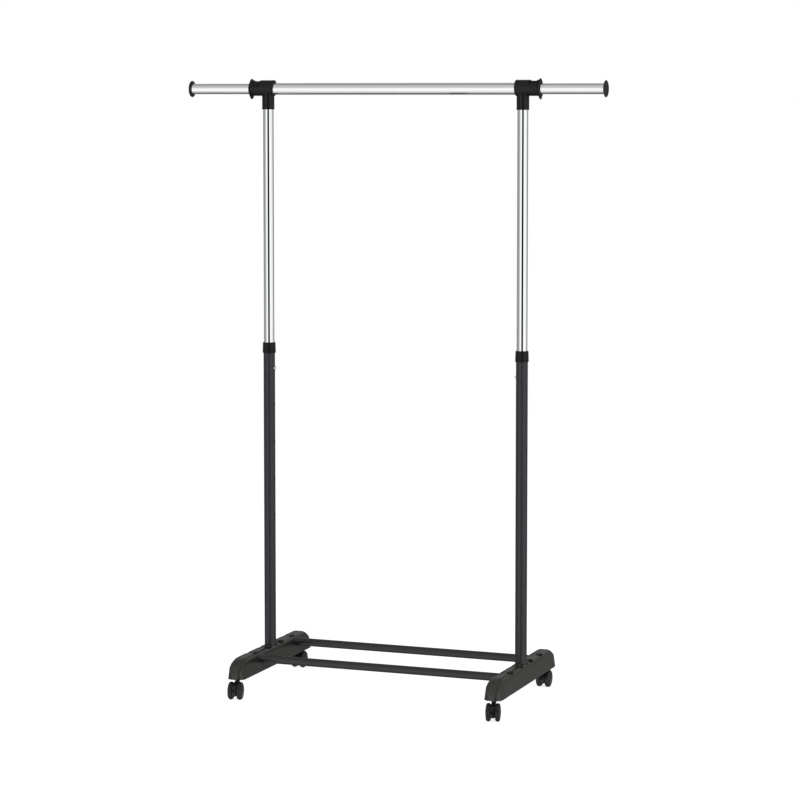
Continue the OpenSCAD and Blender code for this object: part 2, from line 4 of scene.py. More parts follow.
import bpy
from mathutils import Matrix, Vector


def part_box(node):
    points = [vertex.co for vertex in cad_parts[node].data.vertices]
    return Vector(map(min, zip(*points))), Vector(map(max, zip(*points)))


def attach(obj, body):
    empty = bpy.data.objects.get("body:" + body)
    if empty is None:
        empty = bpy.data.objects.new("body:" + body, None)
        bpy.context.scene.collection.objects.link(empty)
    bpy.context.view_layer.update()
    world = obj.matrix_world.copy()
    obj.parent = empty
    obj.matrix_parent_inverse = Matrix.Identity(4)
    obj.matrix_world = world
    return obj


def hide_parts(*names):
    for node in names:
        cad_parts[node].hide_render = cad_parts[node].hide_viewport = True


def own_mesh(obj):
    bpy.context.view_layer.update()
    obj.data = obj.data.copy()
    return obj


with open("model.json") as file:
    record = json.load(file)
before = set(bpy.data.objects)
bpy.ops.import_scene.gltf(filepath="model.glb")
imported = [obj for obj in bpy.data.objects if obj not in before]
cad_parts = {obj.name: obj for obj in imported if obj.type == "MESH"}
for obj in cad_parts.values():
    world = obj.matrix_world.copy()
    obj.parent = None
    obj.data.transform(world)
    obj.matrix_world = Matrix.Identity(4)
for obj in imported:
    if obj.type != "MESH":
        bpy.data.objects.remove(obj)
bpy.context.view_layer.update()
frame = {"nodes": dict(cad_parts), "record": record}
bpy.ops.object.select_all(action="DESELECT")
scene = bpy.context.scene
mm = 0.001

# ---------------------------------------------------------------------------------------------
# Camera
# A long lens at the height of the hanging bar, to the right of the rack and looking slightly down.
# The lens is shifted a little so that the uprights stay close to parallel.
camera = bpy.data.objects.new("camera", bpy.data.cameras.new("camera"))
scene.collection.objects.link(camera)
camera_turn, camera_fall = math.radians(20.7), math.radians(4.727)
camera.location = (2.6213, -6.8866, 1.6262)
camera.rotation_euler = (math.radians(90) - camera_fall, 0, camera_turn)
camera.data.sensor_width = 36
camera.data.lens = 123.17
camera.data.shift_y = -0.0993
camera.data.clip_end = 100
scene.camera = camera

# ---------------------------------------------------------------------------------------------
# Studio
# A white sweep in a tent of soft cloth, open in a tall slit where the camera looks in. The tent is
# white in front, pale grey overhead and darker behind, which draws the chrome's bands.


def add_node(tree, kind, inputs=None, **settings):
    """Adds a shader node, sets it, and fills each input with a number, a colour or a link."""
    node = tree.nodes.new("ShaderNode" + kind)
    for name, value in settings.items():
        setattr(node, name, value)
    for name, value in (inputs or {}).items():
        if isinstance(value, bpy.types.NodeSocket):
            tree.links.new(value, node.inputs[name])
        else:
            node.inputs[name].default_value = value
    return node


def new_material(name):
    """An empty material and its shader tree."""
    material = bpy.data.materials.new(name)
    material.use_nodes = True
    material.node_tree.nodes.clear()
    return material, material.node_tree


def tent_ramp(tree, angle, stops):
    """Grey of the tent against an angle that runs from 0 to 1."""
    ramp = add_node(tree, "ValToRGB", {"Fac": angle})
    elements = ramp.color_ramp.elements
    while len(elements) < len(stops):
        elements.new(0.5)
    for element, (place, grey) in zip(elements, stops):
        element.position = place
        element.color = (grey, grey, grey, 1)
    return ramp.outputs["Color"]


scene.world = bpy.data.worlds.new("light_tent")
scene.world.use_nodes = True
tent = scene.world.node_tree
tent.nodes.clear()
toward_camera = (math.sin(camera_turn), -math.cos(camera_turn), 0)
beside_camera = (math.cos(camera_turn), math.sin(camera_turn), 0)
gaze = add_node(tent, "TexCoord").outputs["Generated"]
front = add_node(tent, "VectorMath", {0: gaze, 1: toward_camera},
                 operation="DOT_PRODUCT").outputs["Value"]
side = add_node(tent, "VectorMath", {0: gaze, 1: beside_camera},
                operation="DOT_PRODUCT").outputs["Value"]
up = add_node(tent, "SeparateXYZ", {0: gaze}).outputs["Z"]
whole_turn = {"From Min": -math.pi, "From Max": math.pi}
# how far round from the camera, and how far over it, in shares of a whole turn: 0.5 is the camera
round_angle = add_node(tent, "Math", {0: side, 1: front}, operation="ARCTAN2").outputs[0]
round_share = add_node(tent, "MapRange", {"Value": round_angle, **whole_turn}).outputs[0]
over_angle = add_node(tent, "Math", {0: up, 1: front}, operation="ARCTAN2").outputs[0]
over_share = add_node(tent, "MapRange", {"Value": over_angle, **whole_turn}).outputs[0]
round_grey = tent_ramp(tent, round_share, [
    (0.00, 0.10), (0.08, 0.14), (0.13, 0.34), (0.20, 0.28), (0.27, 0.34), (0.325, 0.55),
    (0.36, 1.0), (0.446, 1.0), (0.450, 0.0), (0.550, 0.0), (0.554, 1.0), (0.69, 1.0),
    (0.76, 0.72), (0.81, 0.34), (0.88, 0.20), (1.00, 0.10)])
over_grey = tent_ramp(tent, over_share, [
    (0.00, 0.38), (0.10, 0.36), (0.145, 0.10), (0.19, 0.07), (0.225, 0.36), (0.27, 0.56),
    (0.33, 0.80), (0.39, 1.0), (0.46, 0.98), (0.51, 0.70), (0.60, 0.60), (0.69, 0.56),
    (0.75, 0.40), (0.80, 0.26), (0.90, 0.40), (1.00, 0.40)])
slope = add_node(tent, "Math", {0: up}, operation="ABSOLUTE").outputs[0]
steep = add_node(tent, "MapRange", {"Value": slope, "From Min": 0.10, "From Max": 0.34}).outputs[0]
# the opening is tall, so that it also darkens what leans back from the camera
aside = add_node(tent, "Math", {0: round_share, 1: 0.5}, operation="SUBTRACT").outputs[0]
aside = add_node(tent, "Math", {0: aside}, operation="ABSOLUTE").outputs[0]
drape = add_node(tent, "MapRange", {
    "Value": aside, "From Min": 0.030, "From Max": 0.075, "To Min": 0.12}).outputs[0]
over_open = add_node(tent, "MixRGB", {"Fac": 1.0, "Color1": over_grey, "Color2": drape},
                     blend_type="MULTIPLY").outputs[0]
tent_grey = add_node(tent, "MixRGB", {
    "Fac": steep, "Color1": round_grey, "Color2": over_open}).outputs[0]
# mirrors see the tent, matt surfaces an even pale grey, and the camera a white background
plain_grey, white = (0.40, 0.40, 0.40, 1), (1, 1, 1, 1)
ray = add_node(tent, "LightPath").outputs
seen = add_node(tent, "Math", {0: ray["Is Camera Ray"], 1: ray["Is Transmission Ray"]},
                operation="MAXIMUM").outputs[0]
lit = add_node(tent, "MixRGB", {
    "Fac": ray["Is Glossy Ray"], "Color1": plain_grey, "Color2": tent_grey}).outputs[0]
shown = add_node(tent, "MixRGB", {"Fac": seen, "Color1": lit, "Color2": white}).outputs[0]
cloth = add_node(tent, "Background", {"Color": shown, "Strength": 1.0})
add_node(tent, "OutputWorld", {"Surface": cloth.outputs[0]})

# three soft lamps aimed at the middle of the rack, which the chrome doesn't mirror
lamp_target = Vector((0, 0, 0.8))
for name, place, size, power in (("lamp_right", (3.4, -2.6, 1.9), 1.8, 78),
                                 ("lamp_left", (-3.0, -4.8, 2.6), 2.4, 95),
                                 ("lamp_front", (1.9, -5.6, 2.4), 2.4, 70)):
    lamp = bpy.data.objects.new(name, bpy.data.lights.new(name, "AREA"))
    scene.collection.objects.link(lamp)
    lamp.data.size = size
    lamp.data.energy = power
    lamp.location = place
    lamp.rotation_euler = (Vector(place) - lamp_target).to_track_quat("Z", "Y").to_euler()
    lamp.visible_glossy = False
    lamp.visible_camera = False

# the paper glows to the camera only, so that it stays white with a faint shadow under the casters
floor_wide = 60
bpy.ops.mesh.primitive_plane_add(size=floor_wide)
floor = bpy.context.object
floor.name = "studio_floor"
floor.visible_glossy = False
paper, sheet = new_material("white_paper")
ray = add_node(sheet, "LightPath").outputs
matt = add_node(sheet, "BsdfDiffuse", {"Color": (0.42, 0.42, 0.42, 1)}).outputs[0]
glow = add_node(sheet, "Emission", {"Color": white, "Strength": ray["Is Camera Ray"]}).outputs[0]
half = add_node(sheet, "MixShader", {"Fac": 0.80, 1: matt, 2: glow}).outputs[0]
both = add_node(sheet, "AddShader", {0: half, 1: matt}).outputs[0]
add_node(sheet, "OutputMaterial", {"Surface": both})
floor.data.materials.append(paper)
scene.view_settings.view_transform = "Standard"

# ---------------------------------------------------------------------------------------------
# Feet
# Each foot is one long hollow moulding in charcoal polypropylene, open underneath. It has rounded
# shoulders, a nose that falls away at both ends, and oval pockets by the rails and by the tube.
foot_low, foot_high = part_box("foot_left")
tube_low, tube_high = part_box("lower_tube_left")
rail_low, rail_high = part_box("front_rail")
sleeve_low, sleeve_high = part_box("stem_sleeve_fl")
hands = (("left", -1), ("right", 1))
foot_middle = (foot_low.x + foot_high.x) / 2
foot_half = foot_high.y
foot_base = foot_low.z
foot_rise = foot_high.z - foot_low.z
foot_wide = foot_high.x - foot_low.x
foot_crease = 42.5 * mm
foot_shoulder = 14 * mm
foot_fall = 56 * mm
foot_lip = 5 * mm
foot_corner = 20 * mm
foot_wall = 3.5 * mm
tube_seat = tube_low.z
tube_r = (tube_high.x - tube_low.x) / 2
rail_axis = (rail_low.z + rail_high.z) / 2
rail_line = -(rail_low.y + rail_high.y) / 2
rail_r = (rail_high.z - rail_low.z) / 2
rail_past = rail_high.x - abs(foot_middle)
stem_line = -(sleeve_low.y + sleeve_high.y) / 2
sleeve_flange = 0.5 * mm
sleeve_r = (sleeve_high.x - sleeve_low.x) / 2 - sleeve_flange
pocket_near = 42 * mm
pocket_long = 32 * mm
# each pocket's distance to the side of the foot's middle, width and depth
deep_pocket = (10.8 * mm, 13.5 * mm, 9 * mm)
screw_pocket = (10 * mm, 11 * mm, 3.3 * mm)
ring_groove_wide, ring_groove_deep = 3.5 * mm, 4.5 * mm
bolt_recess_r, bolt_recess_deep = 7.5 * mm, 5 * mm
# room round what is pushed in: a tight fit, a tube or rail in its socket, and beyond a rail's end
snug, slack, rail_end_gap = 0.1 * mm, 0.3 * mm, 0.2 * mm
# how far the cutters run past a surface, and the distance within which corners are merged
past, well_past, beyond_foot = 1 * mm, 2 * mm, 40 * mm
weld = 0.002 * mm


def activate(piece):
    """Makes the piece the only one that is selected, and the active one."""
    bpy.ops.object.select_all(action="DESELECT")
    piece.select_set(True)
    bpy.context.view_layer.objects.active = piece


def draw(points):
    """Draws a chain of edges through the points, starting from one vertex."""
    bpy.ops.mesh.primitive_plane_add(size=1 * mm)
    bpy.ops.object.mode_set(mode="EDIT")
    bpy.ops.mesh.merge(type="CENTER")
    bpy.ops.transform.translate(value=points[0])
    for start, end in zip(points, points[1:]):
        step = Vector(end) - Vector(start)
        bpy.ops.mesh.extrude_vertices_move(TRANSFORM_OT_translate={"value": step})
    bpy.ops.mesh.select_all(action="SELECT")


def finish_mesh(name):
    """Merges doubles, turns the faces outwards, and leaves edit mode with the origin at zero."""
    bpy.ops.mesh.select_all(action="SELECT")
    bpy.ops.mesh.remove_doubles(threshold=weld)
    bpy.ops.mesh.normals_make_consistent(inside=False)
    bpy.ops.object.mode_set(mode="OBJECT")
    piece = bpy.context.object
    bpy.ops.object.transform_apply(location=True, rotation=True, scale=True)
    piece.name = piece.data.name = name
    piece.select_set(False)
    return piece


def apply_modifier(piece, kind, **settings):
    """Gives the piece one modifier and applies it."""
    modifier = piece.modifiers.new(kind.lower(), kind)
    for name, value in settings.items():
        setattr(modifier, name, value)
    bpy.context.view_layer.objects.active = piece
    bpy.ops.object.modifier_apply(modifier=modifier.name)


def cut(piece, *tools):
    """Cuts the tools out of the piece and throws them away."""
    for tool in tools:
        apply_modifier(piece, "BOOLEAN", object=tool, operation="DIFFERENCE", solver="EXACT")
        bpy.data.objects.remove(tool)


def smooth(piece, angle):
    """Shades the piece smooth, apart from edges sharper than the angle in degrees."""
    activate(piece)
    bpy.ops.object.shade_smooth_by_angle(angle=math.radians(angle))
    piece.select_set(False)


def arc(centre, r, start, end, steps):
    """Points on an arc in a plane, angles in degrees."""
    angles = [math.radians(start + (end - start) * i / steps) for i in range(steps + 1)]
    return [(centre[0] + r * math.cos(a), centre[1] + r * math.sin(a)) for a in angles]


def rod(name, r, start, end, sides=64):
    """A plain round bar between two points, for cutting with."""
    start, end = Vector(start), Vector(end)
    turn = (end - start).to_track_quat("Z", "Y").to_euler()
    bpy.ops.mesh.primitive_cylinder_add(vertices=sides, radius=r, depth=(end - start).length,
                                        location=(start + end) / 2, rotation=turn)
    bpy.ops.object.transform_apply(location=True, rotation=True, scale=True)
    bpy.context.object.name = name
    return bpy.context.object


def block(name, start, end):
    """A plain box between two corners, for cutting with."""
    start, end = Vector(start), Vector(end)
    bpy.ops.mesh.primitive_cube_add(size=1, location=(start + end) / 2, scale=end - start)
    bpy.ops.object.transform_apply(location=True, rotation=True, scale=True)
    bpy.context.object.name = name
    return bpy.context.object


def foot_section():
    """Half of the cross-section from the bottom edge to the middle of the top."""
    flat = foot_crease / 2 - foot_shoulder
    crease_height = foot_rise - foot_shoulder
    side_points = [(foot_wide / 2 + (foot_crease - foot_wide) / 2 * i / 4, crease_height * i / 4)
                   for i in range(4)]
    shoulder = arc((flat, crease_height), foot_shoulder, 0, 90, 10)
    return side_points + shoulder


def nose_scale(y):
    """Share of the full width and height that the foot keeps at this distance from its middle."""
    fall = max(abs(y) - (foot_half - foot_fall), 0)
    turn = max(abs(y) - (foot_half - foot_corner), 0)
    height = foot_lip + (foot_rise - foot_lip) * math.sqrt(max(1 - (fall / foot_fall) ** 2, 0))
    narrow = foot_wide / 2 - foot_corner + math.sqrt(max(foot_corner ** 2 - turn ** 2, 0))
    return 2 * narrow / foot_wide, height / foot_rise


def foot_stations():
    """Places along the foot at which its section is set, closest together at the noses."""
    nose = [foot_half - foot_fall * (1 - math.sin(math.radians(a))) for a in range(0, 91, 5)]
    straight = [(foot_half - foot_fall) * i / 24 for i in range(24)]
    half_way = straight + nose
    return [-y for y in reversed(half_way)] + half_way[1:]


def oval_cutter(x, y, long, wide, bottom, top):
    """A pocket's shape: an upright oval block that flares a little to its mouth."""
    r, straight = wide / 2, (long - wide) / 2
    ends = arc((0, straight), r, 0, 180, 12) + arc((0, -straight), r, 180, 360, 12)
    draw([(x + u, y + v, bottom) for u, v in ends + ends[:1]])
    bpy.ops.mesh.remove_doubles(threshold=weld)
    bpy.ops.mesh.edge_face_add()
    bpy.ops.mesh.extrude_region_move(TRANSFORM_OT_translate={"value": (0, 0, top - bottom)})
    bpy.ops.transform.resize(value=(1.12, 1.04, 1), center_override=(x, y, top))
    return finish_mesh("pocket")


def drop_loose_corners(piece):
    """Takes out corners where only two edges meet, which would leave double triangles."""
    meeting = [0] * len(piece.data.vertices)
    for edge in piece.data.edges:
        for corner in edge.vertices:
            meeting[corner] += 1
    activate(piece)
    bpy.ops.object.mode_set(mode="EDIT")
    bpy.ops.mesh.select_mode(type="VERT")
    bpy.ops.mesh.select_all(action="DESELECT")
    bpy.ops.object.mode_set(mode="OBJECT")
    for vertex in piece.data.vertices:
        vertex.select = meeting[vertex.index] == 2
    bpy.ops.object.mode_set(mode="EDIT")
    bpy.ops.mesh.dissolve_verts()
    bpy.ops.object.mode_set(mode="OBJECT")


def build_foot(name, x, inboard):
    """The whole foot at one upright. inboard is +1 or -1, the side on which its rails enter."""
    half_outline = foot_section()
    outline = half_outline + [(-u, v) for u, v in reversed(half_outline)]
    stations = foot_stations()
    width, height = nose_scale(stations[0])
    draw([(x + u * width, stations[0], foot_base + v * height) for u, v in outline + outline[:1]])
    bpy.ops.mesh.remove_doubles(threshold=weld)
    bpy.ops.mesh.edge_face_add()
    for before, after in zip(stations, stations[1:]):
        bpy.ops.mesh.extrude_region_move(TRANSFORM_OT_translate={"value": (0, after - before, 0)})
        (w0, h0), (w1, h1) = nose_scale(before), nose_scale(after)
        bpy.ops.transform.resize(value=(w1 / w0, 1, h1 / h0),
                                 center_override=(x, after, foot_base))
    foot = finish_mesh(name)
    bottom, top = foot_base - past, foot_base + foot_rise
    inner = foot_crease / 2 - foot_wall
    roof = foot_base + foot_rise - foot_shoulder
    # between the tube's socket and the rail, and between the rail and the stem's socket
    hollows = ((tube_r + foot_wall, rail_line - rail_r - foot_wall),
               (rail_line + rail_r + foot_wall, stem_line - sleeve_r - foot_wall))
    pockets = ((pocket_near, 1, deep_pocket), (pocket_near, -1, deep_pocket),
               (rail_line, -1, deep_pocket), (rail_line, 1, screw_pocket))
    for sign in (-1, 1):
        for near, far in hollows:
            cut(foot, block("hollow", (x - inner, sign * near, bottom),
                            (x + inner, sign * far, roof)))
        cut(foot, block("hollow", (x - inner, sign * rail_line - rail_r, bottom),
                        (x + inner, sign * rail_line + rail_r, rail_axis - rail_r - foot_wall)))
        cut(foot, rod("rail_socket", rail_r + slack,
                      (x - inboard * (rail_past + rail_end_gap), sign * rail_line, rail_axis),
                      (x + inboard * beyond_foot, sign * rail_line, rail_axis)))
        cut(foot, rod("stem_socket", sleeve_r + snug, (x, sign * stem_line, bottom),
                      (x, sign * stem_line, sleeve_high.z + past)))
        for y, way, (side, wide, deep) in pockets:
            cut(foot, oval_cutter(x + inboard * way * side, sign * y, pocket_long, wide,
                                  top - deep, top + well_past))
    cut(foot, rod("tube_socket", tube_r + slack, (x, 0, tube_seat), (x, 0, top + well_past), 96))
    cut(foot, rod("tube_ring", tube_r + ring_groove_wide, (x, 0, top - ring_groove_deep),
                  (x, 0, top + well_past), 96))
    cut(foot, rod("bolt_hole", bolt_recess_r, (x, 0, bottom),
                  (x, 0, foot_base + bolt_recess_deep)))
    drop_loose_corners(foot)
    smooth(foot, 28)
    return foot


def linear(code):
    """Linear colour of an sRGB hex code, opaque."""
    parts = [int(code[i:i + 2], 16) / 255 for i in (1, 3, 5)]
    return [p / 12.92 if p <= 0.04045 else ((p + 0.055) / 1.055) ** 2.4 for p in parts] + [1.0]


def moulded_plastic(name, dark, light, patch, rough, grain, depth, gloss):
    """A moulded plastic: colour in faint patches, and the grain of the mould's surface as bump."""
    material, tree = new_material(name)
    place = add_node(tree, "TexCoord").outputs["Object"]
    clouds = add_node(tree, "TexNoise", {
        "Vector": place, "Scale": 1 / patch, "Detail": 4, "Roughness": 0.6}).outputs[0]
    colour = add_node(tree, "MixRGB", {
        "Fac": clouds, "Color1": linear(dark), "Color2": linear(light)}).outputs[0]
    wear = add_node(tree, "MapRange", {
        "Value": clouds, "To Min": rough[0], "To Max": rough[1]}).outputs[0]
    sparks = add_node(tree, "TexNoise", {
        "Vector": place, "Scale": 1 / grain, "Detail": 3}).outputs[0]
    bump = add_node(tree, "Bump", {
        "Height": sparks, "Distance": depth, "Strength": 0.6}).outputs[0]
    surface = add_node(tree, "BsdfPrincipled", {
        "Base Color": colour, "Roughness": wear, "Normal": bump,
        "Specular IOR Level": gloss, "IOR": 1.49}).outputs[0]
    add_node(tree, "OutputMaterial", {"Surface": surface})
    return material


# Charcoal polypropylene from a spark-eroded mould: satin, and slightly mottled. The mould's
# grain is about 0.3 mm; it is drawn at 1.6 mm so that it shows.
foot_plastic = moulded_plastic("moulded_polypropylene", "#20201f", "#353531", 9 * mm,
                               (0.16, 0.27), 1.6 * mm, 0.10 * mm, 0.50)


def dress(piece, body, slot, material, *nodes):
    """Gives a finished piece its material and its body, and hides the CAD nodes that it stands for.
    """
    piece.data.materials.clear()
    piece.data.materials.append(material)
    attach(piece, body)
    if nodes:
        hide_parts(*nodes)


for side_name, sign in hands:
    foot = build_foot("foot_moulding_" + side_name, sign * abs(foot_middle), -sign)
    dress(foot, "base", "foot_plastic", foot_plastic, "foot_" + side_name)

# ---------------------------------------------------------------------------------------------
# Rails and lower tubes
# Welded steel tube with a satin charcoal powder coat. The rails run between the feet, and the
# lower tubes are pierced with five button holes on their inboard side.


def powder_coat(name, dark, light, rough):
    """A baked powder coat: colour in faint patches, over the orange peel of the baking."""
    material, coat = new_material(name)
    place = add_node(coat, "TexCoord").outputs["Object"]
    mottle = add_node(coat, "TexNoise", {
        "Vector": place, "Scale": 1 / (14 * mm), "Detail": 5, "Roughness": 0.65}).outputs[0]
    shade = add_node(coat, "MixRGB", {
        "Fac": mottle, "Color1": linear(dark), "Color2": linear(light)}).outputs[0]
    gloss = add_node(coat, "MapRange", {
        "Value": mottle, "To Min": rough[0], "To Max": rough[1]}).outputs[0]
    # waves of about 2 mm
    peel = add_node(coat, "TexNoise", {
        "Vector": place, "Scale": 1 / (2 * mm), "Detail": 2}).outputs[0]
    relief = add_node(coat, "Bump", {
        "Height": peel, "Distance": 0.05 * mm, "Strength": 0.5}).outputs[0]
    skin = add_node(coat, "BsdfPrincipled", {
        "Base Color": shade, "Roughness": gloss, "Normal": relief,
        "Specular IOR Level": 0.50, "IOR": 1.5}).outputs[0]
    add_node(coat, "OutputMaterial", {"Surface": skin})
    return material


def repaint(node, material):
    """Gives a CAD node a finished material in its own slots."""
    slots = frame["nodes"][node].material_slots
    if not slots:
        frame["nodes"][node].data.materials.append(material)
    for held in slots:
        held.material = material


# Satin and neutral on the rails, and a little violet on the lower tubes, which are coated apart
rail_paint = powder_coat("satin_powder_coat", "#1c1c1c", "#282828", (0.15, 0.24))
tube_paint = powder_coat("violet_grey_powder_coat", "#222225", "#2b2b30", (0.32, 0.42))
for node in ("front_rail", "rear_rail"):
    repaint(node, rail_paint)
for node in ("lower_tube_left", "lower_tube_right"):
    repaint(node, tube_paint)

# ---------------------------------------------------------------------------------------------
# Chromed tubes
# Thin steel tube, polished and bright chrome plated: the upper tubes, the centre bar and the two
# extension bars. The plating is mirror-like, with a faint haze left by polishing.
chrome, plate = new_material("bright_chrome_plate")
place = add_node(plate, "TexCoord").outputs["Object"]
haze = add_node(plate, "TexNoise", {
    "Vector": place, "Scale": 1 / (22 * mm), "Detail": 6, "Roughness": 0.7}).outputs[0]
haze_rough = add_node(plate, "MapRange", {
    "Value": haze, "To Min": 0.02, "To Max": 0.05}).outputs[0]
haze_tint = add_node(plate, "MixRGB", {
    "Fac": haze, "Color1": linear("#f5f7f7"), "Color2": linear("#fdfdfd")}).outputs[0]
mirror = add_node(plate, "BsdfPrincipled", {
    "Base Color": haze_tint, "Metallic": 1.0, "Roughness": haze_rough}).outputs[0]
add_node(plate, "OutputMaterial", {"Surface": mirror})
for node in ("upper_tube_left", "upper_tube_right", "centre_bar",
             "extension_bar_left", "extension_bar_right"):
    repaint(node, chrome)

# ---------------------------------------------------------------------------------------------
# Tees
# One glossy black ABS moulding, turned half round for the other side. Its barrel holds the bars
# and its socket the upright. A shallow recess in the barrel is grooved and edged with deep slots.
bar_low, bar_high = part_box("centre_bar")
upper_low, upper_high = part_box("upper_tube_left")
tee_low, tee_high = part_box("tee_left")
hub_low, hub_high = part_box("twist_lock_left")
bar_axis = (bar_low.z + bar_high.z) / 2
bar_r = (bar_high.z - bar_low.z) / 2
upright_x = abs(upper_low.x + upper_high.x) / 2
upper_r = (upper_high.x - upper_low.x) / 2
barrel_r = (tee_high.y - tee_low.y) / 2
barrel_rise = tee_high.z - barrel_r - bar_axis
barrel_out = -(tee_low.x + upright_x)
barrel_in = tee_high.x + upright_x
socket_r = 16.8 * mm
socket_foot = tee_low.z - bar_axis
bar_seat = bar_high.x - upright_x
hub_r = 16.5 * mm
hub_start = -(hub_high.x + upright_x)
passage_r = 14.7 * mm
edge_r = 0.6 * mm
# the recess runs between these angles, from the front over the top, and these places along X
recess_from, recess_to = 5, 143
recess_start, recess_end = 5 * mm - barrel_out, 25 * mm - barrel_out
slot_inner = recess_end - 2.6 * mm
loose = 0.4 * mm


def turned(name, outline, along="Z", sides=96):
    """Turns an outline of (radius, distance) points once round the Z or X axis, as on a lathe."""
    closed = outline + outline[:1] if outline[0][0] > 0 else outline
    draw([(r, 0, h) for r, h in closed])
    bpy.ops.mesh.spin(steps=sides, angle=2 * math.pi, center=(0, 0, 0), axis=(0, 0, 1))
    piece = finish_mesh(name)
    return settle(piece, lean=math.radians(90) if along == "X" else 0)


def settle(piece, where=(0, 0, 0), lean=0.0, turn=0.0):
    """Leans the piece about Y, turns it about Z, moves it, and leaves its origin at zero."""
    piece.rotation_euler = (0, lean, turn)
    piece.location = where
    activate(piece)
    bpy.ops.object.transform_apply(location=True, rotation=True, scale=True)
    piece.select_set(False)
    return piece


def twin(piece, name):
    """A copy with a mesh of its own."""
    other = piece.copy()
    other.data = piece.data.copy()
    other.name = other.data.name = name
    scene.collection.objects.link(other)
    return other


def join(piece, *others):
    """Joins solids that overlap into one."""
    for other in others:
        apply_modifier(piece, "BOOLEAN", object=other, operation="UNION", solver="EXACT")
        bpy.data.objects.remove(other)


def prism(name, outline, start, end):
    """A closed outline of (y, z) points, pulled out along X."""
    draw([(start, y, z) for y, z in outline + outline[:1]])
    bpy.ops.mesh.remove_doubles(threshold=weld)
    bpy.ops.mesh.edge_face_add()
    bpy.ops.mesh.extrude_region_move(TRANSFORM_OT_translate={"value": (end - start, 0, 0)})
    return finish_mesh(name)


def wedge(r0, r1, a0, a1):
    """Outline of part of a ring, with its angles counted from the front over the top."""
    outer = arc((0, 0), r1, 180 - a0, 180 - a1, 16)
    inner = arc((0, 0), r0, 180 - a1, 180 - a0, 16)
    return outer + inner


def ring_outline(r0, r1, h0, h1, round_r, *bands):
    """Outline of a sleeve whose outer edges are rounded, or of a solid rod where r0 is 0.

    Each band is (start, end, how far it stands out).
    """
    low_corner = arc((r1 - round_r, h0 + round_r), round_r, -90, 0, 4)
    high_corner = arc((r1 - round_r, h1 - round_r), round_r, 0, 90, 4)
    raised = []
    for start, end, proud in bands:
        raised += [(r1, start), (r1 + 0.7 * proud, start + 0.1 * mm),
                   (r1 + proud, start + 0.4 * mm), (r1 + proud, end - 0.4 * mm),
                   (r1 + 0.7 * proud, end - 0.1 * mm), (r1, end)]
    return [(r0, h0)] + low_corner + raised + high_corner + [(r0, h1)]


# the two raised bands of the barrel, and the one of the socket
outer_band = (0.7 * mm - barrel_out, 3.1 * mm - barrel_out, 0.45 * mm)
inner_band = (barrel_in - 3.9 * mm, barrel_in - 0.7 * mm, 0.45 * mm)
socket_band = (socket_foot + 0.7 * mm, socket_foot + 3.3 * mm, 0.5 * mm)
barrel_outline = ring_outline(0, barrel_r, -barrel_out, barrel_in, edge_r, outer_band, inner_band)
tee = settle(turned("tee", barrel_outline, "X"), (0, 0, barrel_rise))
join(tee, turned("socket", ring_outline(0, socket_r, socket_foot, 0, edge_r, socket_band)))
cut(tee, rod("seat", bar_r + snug, (-bar_seat, 0, 0), (barrel_in + past, 0, 0), 96))
cut(tee, rod("passage", passage_r, (-barrel_out - past, 0, 0), (0, 0, 0), 96))
cut(tee, rod("chamber", hub_r + loose, (-barrel_out - past, 0, 0),
             (-hub_start + loose, 0, 0), 96))
cut(tee, rod("socket_bore", upper_r + snug, (0, 0, socket_foot - past),
             (0, 0, upper_high.z - bar_axis), 96))
# the cutters differ a little in their ends, so that no two cut the same face
outside_r = 30 * mm
groove_end = slot_inner - 2 * mm
for a0, a1, start, end, deep in (
        # the shallow recess and its deeper middle
        (recess_from, recess_to, recess_start, recess_end, 0.9 * mm),
        (40, 115, recess_start - 0.05 * mm, recess_end - 0.05 * mm, 2.4 * mm),
        # a deep slot along each end of the recess
        (recess_from + 0.3, recess_from + 6.5, recess_start + 0.05 * mm,
         recess_end - 0.1 * mm, 4.4 * mm),
        (recess_to - 6.5, recess_to - 0.3, recess_start + 0.05 * mm,
         recess_end - 0.1 * mm, 4.4 * mm),
        # the slot round its inboard edge, on both sides of the deeper middle
        (recess_from + 0.6, 60, slot_inner, recess_end - 0.15 * mm, 4.2 * mm),
        (120, recess_to - 0.6, slot_inner, recess_end - 0.15 * mm, 4.2 * mm),
        # a groove along the bar, front and back
        (21, 26, recess_start + 1 * mm, groove_end, 2.8 * mm),
        (122, 127, recess_start + 1 * mm, groove_end, 2.8 * mm)):
    recess = prism("recess", wedge(barrel_r - deep, outside_r, a0, a1), start, end)
    cut(tee, settle(recess, (0, 0, barrel_rise)))
drop_loose_corners(tee)
smooth(tee, 34)

# Glossy ABS from a polished mould, almost black, dull only in faint patches. Its fine waves are
# about 2 mm long and break up the reflections a little.
black_abs = moulded_plastic("glossy_moulded_abs", "#0f0f10", "#171718", 14 * mm,
                            (0.20, 0.30), 2.0 * mm, 0.03 * mm, 0.26)
for side_name, sign in hands:
    piece = settle(twin(tee, "tee_moulding_" + side_name), (sign * upright_x, 0, bar_axis),
                   turn=math.pi if sign > 0 else 0)
    dress(piece, "top_frame", "fitting_plastic", black_abs, "tee_" + side_name)
bpy.data.objects.remove(tee)

# ---------------------------------------------------------------------------------------------
# Twist locks
# A black nylon ring whose hub turns in each tee, with a flange and two rounded wings by which it is
# turned. Each wing has a small dimple on both faces.
flange_start = barrel_out + loose
flange_end = -(hub_low.x + upright_x)
flange_r = (hub_high.y - hub_low.y) / 2
wing_reach = (hub_high.z - hub_low.z) / 2
wing_tip = 8 * mm
wing_root = 12.8 * mm
wing_turn = 52
dimple_r, dimple_lift, dimple_inset = 2.2 * mm, 1.1 * mm, 5.4 * mm


